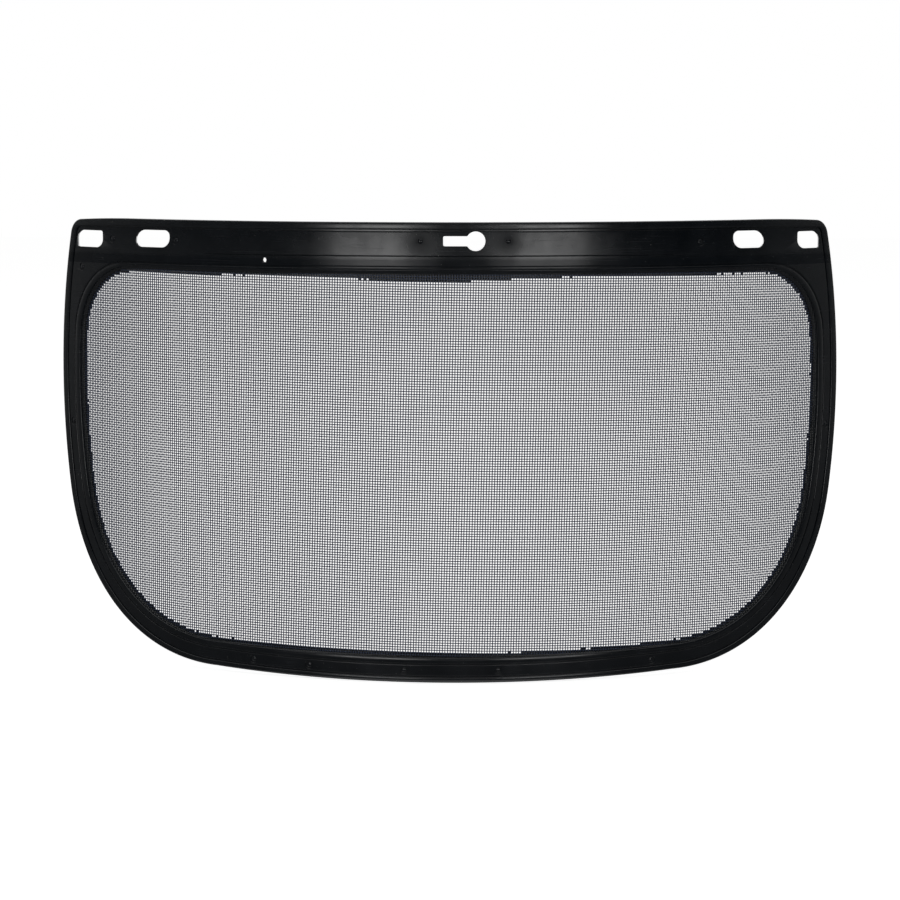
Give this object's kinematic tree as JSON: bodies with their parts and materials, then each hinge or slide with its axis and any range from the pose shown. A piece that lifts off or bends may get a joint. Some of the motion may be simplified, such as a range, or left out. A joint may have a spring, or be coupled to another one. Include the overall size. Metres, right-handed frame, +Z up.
{
  "type": "face shield",
  "caption": "Curved wire-mesh face shield window: a black moulded border holding a woven screen, with a keyhole and side slots for a brow guard.",
  "frame": {"origin": "inner face of the border on its centreline, level with the stud row", "axes": "+Z up, +Y towards the wearer (the convex front faces -Y), +X to the right as seen from the front"},
  "size_m": [0.3614, 0.0744, 0.2032],
  "materials": {
    "border_plastic": "black moulded plastic, low sheen",
    "screen_wire": "black-coated steel wire"
  },
  "bodies": {
    "root": {"moulded_border": "border_plastic", "warp_wires": "screen_wire", "weft_wires": "screen_wire"}
  },
  "joints": []
}
